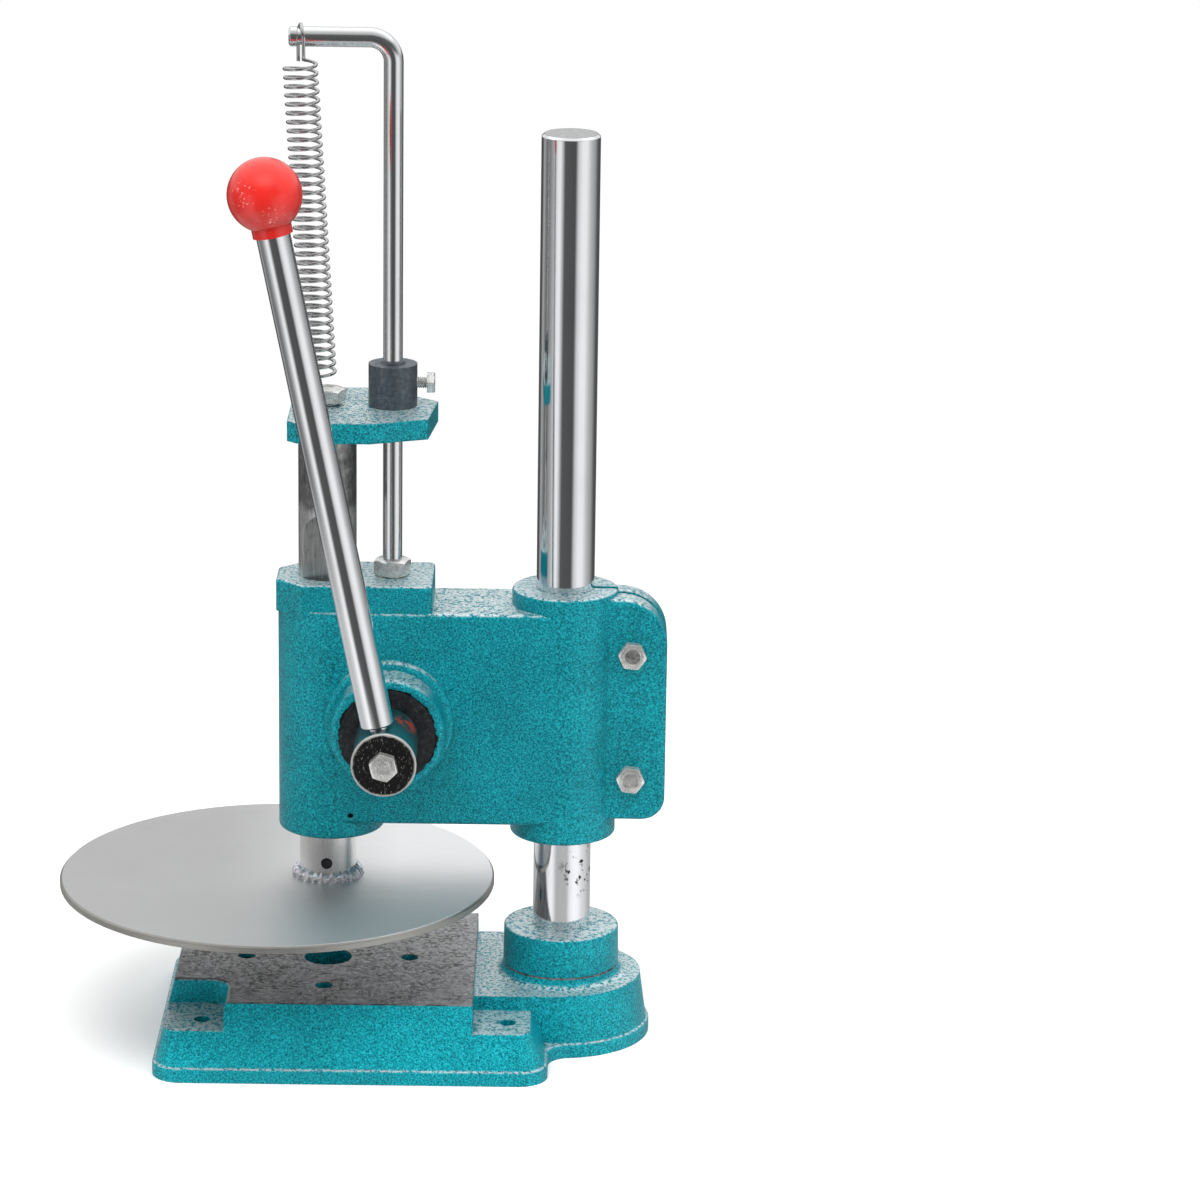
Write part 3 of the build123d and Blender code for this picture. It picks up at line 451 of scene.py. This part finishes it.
def worn_washer(name):
    """Black face with fine scratches and a rubbed bright rim."""
    rim_start, raggedness = 0.0163, 0.0016
    n = Nodes(name)
    scratch = n.noise(1.0, 5, 0.75, vector=n.stretch((1500, 300, 500)))
    grit = n.noise(700, 5, 0.7)
    away = n.math("MULTIPLY_ADD", n.noise(260, 3), raggedness, n.around(pinion_axis, "Y"))
    rim = n.step(away, rim_start, 0.0005)
    scratches = n.ramp(scratch, (0.60, 0.0), (0.66, 0.8))
    pits = n.ramp(grit, (0.64, 0.0), (0.70, 0.7))
    bright = n.math("MAXIMUM", rim, n.math("MAXIMUM", scratches, pits))
    n.color(n.mix(bright, (0.012, 0.012, 0.012), (0.55, 0.55, 0.53)))
    n.set(Metallic=0.7)
    n.rough(n.ramp(grit, (0.3, 0.45), (0.7, 0.28)))
    n.bump(grit, 0.4, 0.0004, n.soft_normal(0.0004))
    return n.material


def dark_paint(name):
    """Dark teal enamel with a red smear beside the washer."""
    smear_place, smear_reach = (pinion_axis.x + 0.012, -0.066, pinion_axis.z + 0.011), 0.008
    n = Nodes(name)
    grain = n.noise(300, 5, 0.6)
    enamel = n.ramp(grain, (0.35, (0.003, 0.030, 0.036)), (0.7, (0.006, 0.075, 0.088)))
    ragged = n.ramp(n.noise(190, 3), (0.48, 0.0), (0.56, 1.0))
    smear = n.math("MULTIPLY", n.spot(smear_place, smear_reach, edge=0.004), ragged)
    n.color(n.mix(smear, enamel, (0.42, 0.045, 0.02)))
    n.set(Metallic=0.2, Coat_Weight=0.5, Coat_Roughness=0.15)
    n.rough(n.ramp(grain, (0.3, 0.3), (0.7, 0.42)))
    n.bump(grain, 0.2, 0.0003, n.soft_normal(0.0006))
    return n.material


def bronze(name):
    n = Nodes(name)
    wear = n.noise(220, 5, 0.6)
    n.color(n.ramp(wear, (0.35, (0.28, 0.17, 0.06)), (0.7, (0.55, 0.36, 0.14))))
    n.set(Metallic=1.0)
    n.rough(n.ramp(wear, (0.3, 0.3), (0.7, 0.45)))
    n.bump(wear, 0.1, 0.0002)
    return n.material


def red_knob(name):
    """Glossy red with fine scratches and two patches of small chips."""
    chip_reach, chip_edge = 0.007, 0.003
    left_chips = knob_centre + Vector((-0.011, -0.016, 0.004))
    right_chips = knob_centre + Vector((0.006, -0.018, -0.007))
    n = Nodes(name)
    swirl = n.noise(26, 4, 0.6, distortion=0.8)
    scratch = n.noise(1.0, 4, 0.7, vector=n.stretch((420, 420, 30)))
    red = n.ramp(swirl, (0.35, (0.54, 0.010, 0.006)), (0.75, (0.70, 0.020, 0.012)))
    left, right = (n.spot(place, chip_reach, chip_edge) for place in (left_chips, right_chips))
    chips = n.ramp(n.noise(620, 4, 0.75), (0.60, 0.0), (0.64, 0.8))
    red = n.mix(n.math("MULTIPLY", n.math("MAXIMUM", left, right), chips), red, (0.86, 0.50, 0.46))
    n.color(n.mix(n.ramp(scratch, (0.70, 0.0), (0.76, 0.35)), red, (0.86, 0.20, 0.15)))
    n.set(Coat_Weight=0.5, Coat_Roughness=0.07, IOR=1.45)
    n.rough(n.ramp(swirl, (0.3, 0.26), (0.8, 0.36)))
    n.bump(scratch, 0.04, 0.0002)
    return n.material


def weld_metal(name):
    dark, grey, bright = (0.30, 0.31, 0.34), (0.62, 0.63, 0.67), (0.92, 0.93, 0.96)
    n = Nodes(name)
    scale = n.noise(650, 5, 0.7)
    n.color(n.ramp(scale, (0.35, dark), (0.52, grey), (0.66, bright)))
    n.set(Metallic=0.9)
    n.rough(n.ramp(scale, (0.3, 0.45), (0.7, 0.22)))
    n.bump(scale, 0.35, 0.0004)
    return n.material


def dress(name, material):
    data = nodes[name].data
    data.materials.clear()
    data.materials.append(material)


paint = hammered_paint("teal_hammer_paint")
bar = polished_bar("chromed_bar", (700, 700, 14), rough=0.08, spots=foot_spots)
steel = stained_steel("stained_steel", 1.9)
fastener = zinc("zinc_plate")
dull_zinc = zinc("zinc_in_the_hollows", metallic=1.0)
black = black_steel("black_oxide")
blued = black_steel("blued_steel", 0.4, (0.058, 0.074, 0.090), (0.115, 0.135, 0.155), wear_from=0.7)
wire = polished_bar("spring_wire", (300, 300, 300), tint=(0.50, 0.50, 0.50), rough=0.05, soften=0.0)
rubbed_foot = top_of("post_nut") + 0.033

# Painted light: the base's paint is made lighter than the head's, for the light from above that its
# sloping faces catch.
dress("base_casting", hammered_paint("teal_paint_and_machined_table", bare=table_mask, painted_light_lift=1.2))
dress("head_casting", hammered_paint("teal_paint_and_grease", grime=bush_grime))
dress("cross_plate", paint)
dress("column", bar)
dress("guide_post", polished_bar("post_bar", (900, 900, 20), tint=(0.74, 0.75, 0.76), rough=0.12))
dress("lever_rod", polished_bar("lever_bar", (900, 900, 16), rough=0.09))
dress("press_plate", brushed_plate("brushed_steel"))
dress("lever_hub", dark_paint("dark_teal_enamel"))
dress("rear_bush", bronze("turned_bronze"))
dress("knob", red_knob("red_phenolic"))
dress("stop_collar", blued)
dress("hub_washer", worn_washer("worn_black"))
dress("ram", stained_steel("dark_stained_steel", 0.9, rubbed_below=rubbed_foot))
dress("plate_socket", polished_bar("turned_socket", (900, 900, 30), tint=(0.86, 0.86, 0.85), rough=0.26))
for name in ("pinion_shaft", "hub_key"):
    dress(name, steel)
for name in ("front_bush", "retaining_ring", "socket_screw"):
    dress(name, black)


# Shapes that the solids keep plain: faceted heads, threads, the weld and the smooth spring

class Metric:
    """Sizes of a bolt, in metres."""

    def __init__(self, across_flats, head, radius, pitch):
        self.across_flats = across_flats
        self.head = head
        self.radius = radius
        self.pitch = pitch


M6 = Metric(across_flats=0.010, head=0.004, radius=0.003, pitch=0.001)
M8 = Metric(across_flats=0.013, head=0.0053, radius=0.004, pitch=0.00125)
M10 = Metric(across_flats=0.017, head=0.0064, radius=0.005, pitch=0.0015)


def frame_along(direction):
    """Two directions across a line, and the line's own."""
    along = Vector(direction).normalized()
    guide = Vector((0, 0, 1)) if abs(along.z) < 0.9 else Vector((1, 0, 0))
    across = guide.cross(along).normalized()
    return across, along.cross(across), along


def turned_about(base, direction):
    """A function that gives the point at a reach, angle and level about a line."""
    across, aside, along = frame_along(direction)

    def point(reach, angle, level):
        out = across * (reach * math.cos(angle)) + aside * (reach * math.sin(angle))
        return Vector(base) + out + along * level

    return point


class Shell:
    """The points and faces of one piece while it is built."""

    def __init__(self):
        self.verts = []
        self.faces = []

    def skin(self, rings):
        """Skins a list of rings of equally many points, and closes both ends."""
        count = len(rings[0])
        start = len(self.verts)
        last = start + (len(rings) - 1) * count
        for ring in rings:
            self.verts.extend(ring)
        for low in range(start, last, count):
            high = low + count
            for i in range(count):
                j = (i + 1) % count
                self.faces.append((low + i, low + j, high + j, high + i))
        self.faces.append(tuple(start + i for i in reversed(range(count))))
        self.faces.append(tuple(last + i for i in range(count)))

    def hexagon(self, base, direction, flat, height, spin=0, below=False, dish=0.0, bowl=0.56):
        """A hexagon whose corners are turned to a cone at the top, and below too on a nut.

        spin is its turn in degrees, dish the depth of the hollow in its face, and bowl the
        share of the face that the hollow takes."""
        count, cone_angle, lip = 96, 30, 0.06
        sector, slope = math.pi / 3, math.tan(math.radians(cone_angle))
        land = 0.47 * flat
        point = turned_about(base, direction)
        rings = []

        def corner(angle):
            turn = (angle - math.radians(spin) + sector / 2) % sector - sector / 2
            return flat / 2 / math.cos(turn)

        def ring(reach, level):
            angles = [2 * math.pi * i / count for i in range(count)]
            rings.append([point(reach(angle), angle, level(reach(angle))) for angle in angles])

        if below:
            ring(lambda angle: land, lambda r: 0.0)
            ring(corner, lambda r: max(0.0, r - land) * slope)
        else:
            ring(corner, lambda r: 0.0)
        ring(corner, lambda r: height - max(0.0, r - land) * slope)
        ring(lambda angle: land, lambda r: height)
        if dish:
            ring(lambda angle: (bowl + lip) * land, lambda r: height)
            ring(lambda angle: bowl * land, lambda r: height - dish)
        self.skin(rings)

    def thread(self, base, direction, size, length, plain=0.0):
        """A bar with a helical thread cut round it, plain over its first part."""
        count, rings_per_turn = 28, 6
        depth = 0.55 * size.pitch
        end_taper = 0.5 * depth
        point = turned_about(base, direction)
        steps = max(2, int(length / size.pitch * rings_per_turn))
        rings = []
        for s in range(steps + 1):
            level = length * s / steps
            ring = []
            for i in range(count):
                phase = (level / size.pitch - i / count) % 1.0
                groove = depth * (1 - abs(2 * phase - 1))
                if level < plain or s == 0:
                    groove = 0.0
                reach = size.radius - groove - (end_taper if s == steps else 0.0)
                ring.append(point(reach, 2 * math.pi * i / count, level))
            rings.append(ring)
        self.skin(rings)

    def bolt(self, seat, direction, size, length, spin, dish, bowl=0.56, plain=0.0, gap=0.0001):
        """A head on its seat and a threaded bar under it. Gives the number of the head's face."""
        along = Vector(direction)
        self.hexagon(seat, direction, size.across_flats, size.head, spin, dish=dish, bowl=bowl)
        face = len(self.faces) - 1
        self.thread(Vector(seat) - along * gap, -along, size, length - gap, plain)
        return face

    def piece(self, name, material, node, body=None, sharp=35):
        """Shows in place of the node, and moves with the body. sharp is in degrees."""
        mesh = bpy.data.meshes.new(name)
        mesh.from_pydata([tuple(v) for v in self.verts], [], self.faces)
        mesh.materials.append(material)
        mesh.validate()
        bm = bmesh.new()
        bm.from_mesh(mesh)
        bmesh.ops.recalc_face_normals(bm, faces=bm.faces)
        bm.to_mesh(mesh)
        bm.free()
        mesh.shade_smooth()
        mesh.set_sharp_from_angle(angle=math.radians(sharp))
        piece = bpy.data.objects.new(name, mesh)
        bpy.context.collection.objects.link(piece)
        if body:
            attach(piece, body)
        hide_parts(node)
        return piece


def add_clamp_fasteners():
    """The bolts through the split clamp, with duller hollows in their heads, and their nuts."""
    low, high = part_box("clamp_bolts")
    nut_low, nut_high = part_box("clamp_nuts")
    clamp_x = (low[0] + high[0]) / 2
    rows = (low[2] + M8.across_flats / 2, high[2] - M8.across_flats / 2)
    seat = low[1] + M8.head
    bolts, nuts, hollows = Shell(), Shell(), []
    for z in rows:
        hollows.append(bolts.bolt(
            (clamp_x, seat, z), (0, -1, 0), M8, high[1] - seat,
            spin=24, dish=0.0009, bowl=0.66, plain=0.036, gap=0.0002))
        nuts.hexagon(
            (clamp_x, nut_low[1], z), (0, 1, 0), M8.across_flats, nut_high[1] - nut_low[1],
            below=True)
    piece = bolts.piece("clamp_bolts_threaded", fastener, "clamp_bolts", "head")
    piece.data.materials.append(dull_zinc)
    for face in hollows:
        piece.data.polygons[face].material_index = 1
    nuts.piece("clamp_nuts_chamfered", fastener, "clamp_nuts", "head")


def add_post_nut():
    low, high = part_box("post_nut")
    nut = Shell()
    nut.hexagon(
        ((low[0] + high[0]) / 2, 0, low[2]), (0, 0, 1), M10.across_flats, high[2] - low[2],
        spin=12, below=True)
    nut.piece("post_nut_chamfered", fastener, "post_nut", "head")


def add_ram_bolt():
    low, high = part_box("cross_plate_bolt")
    seat = high[2] - M10.head
    bolt = Shell()
    bolt.bolt((ram_axis.x, 0, seat), (0, 0, 1), M10, seat - low[2], spin=8, dish=0.0004, plain=0.012)
    bolt.piece("cross_plate_bolt_threaded", fastener, "cross_plate_bolt", "ram")


def add_hub_bolt():
    low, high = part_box("hub_bolt")
    seat = low[1] + M8.head
    bolt = Shell()
    bolt.bolt((pinion_axis.x, seat, pinion_axis.z), (0, -1, 0), M8, high[1] - seat, spin=14, dish=0.0005)
    bolt.piece("hub_bolt_threaded", fastener, "hub_bolt", "lever")


def add_stop_screw():
    low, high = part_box("stop_screw")
    seat = high[0] - M6.head
    screw = Shell()
    screw.bolt((seat, 0, (low[2] + high[2]) / 2), (1, 0, 0), M6, seat - low[0], spin=20, dish=0.0004)
    screw.piece("stop_screw_threaded", fastener, "stop_screw", "stop")


def add_weld():
    """A hand-laid bead: overlapping lumps round the foot of the socket."""
    low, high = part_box("weld_bead")
    reach = (high[0] - low[0]) / 2
    width, rise = 0.0042, high[2] - low[2]
    lump_count, lump_spread = 23, 0.13
    least_width, more_width = 0.72, 0.34
    least_rise, more_rise = 0.62, 0.36
    crinkle_depth, overlap = 0.00022, 0.0001
    count, profile = 220, 12
    chance = random.Random(7)
    lumps = [
        (2 * math.pi * (k + chance.uniform(-0.3, 0.3)) / lump_count, chance.uniform(0.75, 1.25))
        for k in range(lump_count)]
    rings = []
    for i in range(count):
        angle = 2 * math.pi * i / count
        swell = 0.0
        for place, size in lumps:
            away = (angle - place + math.pi) % (2 * math.pi) - math.pi
            swell = max(swell, size * math.exp(-(away / lump_spread) ** 2))
        ring = []
        for k in range(profile + 1):
            turn = math.pi / 2 * k / profile
            out = width * (least_width + more_width * swell) * math.cos(turn)
            up = rise * (least_rise + more_rise * swell) * math.sin(turn)
            crinkle = crinkle_depth * math.sin(9 * angle + 5 * turn) * math.sin(31 * angle - 3 * turn)
            r = reach - width + out + crinkle * math.cos(turn)
            ring.append(Vector((ram_axis.x + r * math.cos(angle), r * math.sin(angle),
                                low[2] + max(0.0, up + crinkle * math.sin(turn)))))
        inner = reach - width - overlap
        ring.append(Vector((ram_axis.x + inner * math.cos(angle), inner * math.sin(angle), low[2])))
        rings.append(ring)
    bead = Shell()
    bead.verts = [point for ring in rings for point in ring]
    size = profile + 2
    for i in range(count):
        j = (i + 1) % count
        for k in range(size):
            m = (k + 1) % size
            bead.faces.append((i * size + k, j * size + k, j * size + m, i * size + m))
    bead.piece("weld_bead_lumpy", weld_metal("weld_metal"), "weld_bead", "ram", sharp=60)


def tube_rings(points, radius, count=8):
    """Circles along a line of points, turned as little as possible from one to the next."""
    rings = []
    side = frame_along(points[1] - points[0])[0]
    turns = [2 * math.pi * k / count for k in range(count)]
    for i, point in enumerate(points):
        ahead = points[min(i + 1, len(points) - 1)] - points[max(i - 1, 0)]
        heading = ahead.normalized()
        side = (side - heading * side.dot(heading)).normalized()
        other = heading.cross(side)
        circle = [side * math.cos(turn) + other * math.sin(turn) for turn in turns]
        rings.append([point + out * radius for out in circle])
    return rings


def bend(start, start_heading, end, end_heading, count):
    """Points of a smooth bend from start to end, without both."""
    reach = (end - start).length
    points = []
    for i in range(1, count):
        t = i / count
        ends = start * (2 * t**3 - 3 * t**2 + 1) + end * (3 * t**2 - 2 * t**3)
        headings = start_heading * (t**3 - 2 * t**2 + t) + end_heading * (t**3 - t**2)
        points.append(ends + headings * reach)
    return points


def add_spring():
    """Round turns between an open hook on the arm of the post and an eye round the ram bolt."""
    wire_r, coil_r, turns, points_per_turn = 0.0009, 0.0081, 35, 26
    arm_r = 0.005
    arm_level, cross_top = top_of("guide_post") - arm_r, top_of("cross_plate")
    down, right = Vector((0, 0, -1)), Vector((1, 0, 0))

    hook_x, hook_r, hook_drop = ram_axis.x - 0.0135, 0.0061, 0.0112
    hook_back, hook_front = hook_x - 0.0012, hook_x + 0.0021
    hook_steps, into_coil = 16, Vector((0, 0.25, -0.45))
    foot_x, eye_r, eye_level = ram_axis.x - 0.004, 0.0060, cross_top + 0.001
    eye_points, eye_step, tail_rise = 20, 14, 0.006
    top, bottom = arm_level - hook_drop - 0.0022, cross_top + 0.015
    stretch_from, stretch_to = arm_level - hook_drop, cross_top + 0.006
    coil_angle = 2 * math.pi * turns + 4 / 3 * math.pi

    def on_hook(side, x, drop):
        return Vector((x, side * hook_r, arm_level - hook_drop * drop))

    def on_coil(share):
        turn = math.pi / 3 - share * coil_angle
        lean = hook_x + share * (foot_x - hook_x)
        level = top + share * (bottom - top)
        return Vector((lean + coil_r * math.cos(turn), coil_r * math.sin(turn), level))

    points = [on_hook(1, hook_back, drop) for drop in (1.2, 0.8, 0.4)]
    for step in range(hook_steps + 1):
        turn = math.pi * (0.5 - step / hook_steps)
        x = hook_back + (hook_front - hook_back) * step / hook_steps
        points.append(Vector((x, hook_r * math.sin(turn), arm_level + hook_r * math.cos(turn))))
    points += [on_hook(-1, hook_front, drop) for drop in (0.3, 0.6, 0.85)]

    count = int(coil_angle / (2 * math.pi) * points_per_turn)
    coil = [on_coil(k / count) for k in range(count + 1)]
    points += bend(points[-1], into_coil, coil[0], (coil[1] - coil[0]).normalized(), count=9)
    points += coil

    tail = Vector((foot_x, eye_r, eye_level + tail_rise))
    points += bend(coil[-1], (coil[-1] - coil[-2]).normalized(), tail, down, count=8)
    points.append(tail)
    eye = []
    for step in range(eye_points):
        turn = math.radians(eye_step * step)
        eye.append(Vector((ram_axis.x + eye_r * math.sin(turn), eye_r * math.cos(turn), eye_level)))
    points += bend(tail, down, eye[0], right, count=6)
    points += eye

    shell = Shell()
    shell.skin(tube_rings(points, wire_r))
    spring = shell.piece("return_spring_wound", wire, "return_spring", sharp=60)
    return spring, Vector((hook_x, 0, stretch_from)), Vector((foot_x, 0, stretch_to))


add_clamp_fasteners()
add_post_nut()
add_ram_bolt()
add_hub_bolt()
add_stop_screw()
add_weld()
spring, spring_top, spring_foot = add_spring()
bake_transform(spring)
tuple(spring_top)
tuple(spring_foot)


# Floor, background and light

def shade_tree(kind, name):
    data = kind.new(name)
    data.use_nodes = True
    data.node_tree.nodes.clear()
    return data, Tree(data.node_tree)


def add_stage():
    """A white floor that keeps the shadow near the press and fades into the white background."""
    half, near, far = 2.0, 0.45, 1.1
    paleness, glow_level, seen_through = 0.74, 0.2, 0.65
    corners = [(-half, -half, 0), (half, -half, 0), (half, half, 0), (-half, half, 0)]
    mesh = bpy.data.meshes.new("floor")
    mesh.from_pydata(corners, [], [(0, 1, 2, 3)])
    floor = bpy.data.objects.new("floor", mesh)
    bpy.context.collection.objects.link(floor)
    material, t = shade_tree(bpy.data.materials, "floor_white")
    matte = t.new("ShaderNodeBsdfDiffuse")
    matte.inputs["Color"].default_value = (paleness, paleness, paleness, 1)
    rays = t.new("ShaderNodeLightPath").outputs
    seen = t.math("MAXIMUM", rays["Is Camera Ray"], rays["Is Glossy Ray"])
    seen = t.math("MAXIMUM", seen, rays["Is Transmission Ray"])
    glow = t.new("ShaderNodeEmission")
    t.link(t.math("MULTIPLY", seen, glow_level), glow.inputs["Strength"])
    both = t.new("ShaderNodeAddShader")
    t.link(matte.outputs["BSDF"], both.inputs[0])
    t.link(glow.outputs["Emission"], both.inputs[1])
    away = t.new("ShaderNodeVectorMath", operation="LENGTH")
    t.link(t.new("ShaderNodeTexCoord").outputs["Object"], away.inputs[0])
    fade = t.rise(away.outputs["Value"], near, far)
    mirrored = t.math("MULTIPLY_ADD", rays["Is Glossy Ray"], seen_through, fade, clamp=True)
    mix = t.new("ShaderNodeMixShader")
    t.link(mirrored, mix.inputs["Fac"])
    t.link(both.outputs["Shader"], mix.inputs[1])
    t.link(t.new("ShaderNodeBsdfTransparent").outputs["BSDF"], mix.inputs[2])
    t.link(mix.outputs["Shader"], t.new("ShaderNodeOutputMaterial").inputs["Surface"])
    mesh.materials.append(material)


# Round the press, in degrees from the camera's side: how bright the white background and the
# dark cards are that bright bars reflect
CARDS = (
    (-180, 0.08), (-140, 0.08), (-124, 0.45), (-108, 0.20), (-88, 0.24), (-68, 0.50),
    (-50, 1.0), (-40, 1.05), (-22, 0.11), (20, 0.09), (32, 0.75), (48, 1.05),
    (66, 1.05), (88, 0.60), (112, 0.36), (130, 0.10), (180, 0.08))


def add_world():
    """White to the camera, plain light on surfaces, and the cards in what bright metal reflects."""
    front_level, back_level, overhead = 0.12, 0.95, 0.5
    side_light, light_from_above = 0.44, 0.35
    world, t = shade_tree(bpy.data.worlds, "studio")
    bpy.context.scene.world = world
    split = t.new("ShaderNodeSeparateXYZ")
    t.link(t.new("ShaderNodeTexCoord").outputs["Generated"], split.inputs["Vector"])
    x, y, z = (split.outputs[letter] for letter in "XYZ")
    turn = t.math("ARCTAN2", x, t.math("MULTIPLY", y, -1.0))
    ramp = t.new("ShaderNodeValToRGB")
    elements = ramp.color_ramp.elements
    while len(elements) < len(CARDS):
        elements.new(0.5)
    for element, (degrees, level) in zip(elements, CARDS):
        element.position = degrees / 360 + 0.5
        element.color = (level, level, level, 1)
    t.link(t.math("MULTIPLY_ADD", turn, 0.5 / math.pi, 0.5), ramp.inputs["Fac"])
    behind, above, raised = t.rise(y, -0.7, 0.3), t.rise(z, 0.45, 0.75), t.rise(z, -0.02, 0.22)
    sky = t.math("MULTIPLY_ADD", above, overhead, t.between(behind, front_level, back_level))
    reflected = t.between(raised, ramp.outputs["Color"], sky)

    rays = t.new("ShaderNodeLightPath").outputs
    white = t.math("MAXIMUM", rays["Is Camera Ray"], rays["Is Transmission Ray"])
    lit = t.math("MULTIPLY_ADD", z, light_from_above, side_light)
    level = t.between(rays["Is Glossy Ray"], lit, reflected)
    background = t.new("ShaderNodeBackground")
    background.inputs["Color"].default_value = (1, 1, 1, 1)
    t.link(t.between(white, level, 1.0), background.inputs["Strength"])
    t.link(background.outputs["Background"], t.new("ShaderNodeOutputWorld").inputs["Surface"])


# Each softbox: place, aim, width, height in metres and power in watts
SOFTBOXES = {
    "left_softbox": ((-1.6, -1.3, 1.4), (0, 0, 0.25), 1.0, 1.4, 14),
    "right_softbox": ((1.7, -1.1, 1.3), (0, 0, 0.25), 0.9, 1.4, 12),
    "top_softbox": ((0.0, -1.0, 1.95), (0, 0, 0.15), 1.6, 1.0, 34),
    "back_softbox": ((0.5, 1.8, 1.2), (0, 0, 0.25), 1.6, 1.2, 22),
}


def add_softbox(name, place, target, width, height, power):
    """A lamp that bright metal doesn't reflect."""
    data = bpy.data.lights.new(name, "AREA")
    data.shape = "RECTANGLE"
    data.size = width
    data.size_y = height
    data.energy = power
    lamp = bpy.data.objects.new(name, data)
    lamp.visible_glossy = False
    bpy.context.collection.objects.link(lamp)
    lamp.location = place
    lamp.rotation_euler = (Vector(target) - Vector(place)).to_track_quat("-Z", "Y").to_euler()


bpy.context.scene.view_settings.view_transform = "Standard"
add_camera()
add_stage()
add_world()
for name, softbox in SOFTBOXES.items():
    add_softbox(name, *softbox)
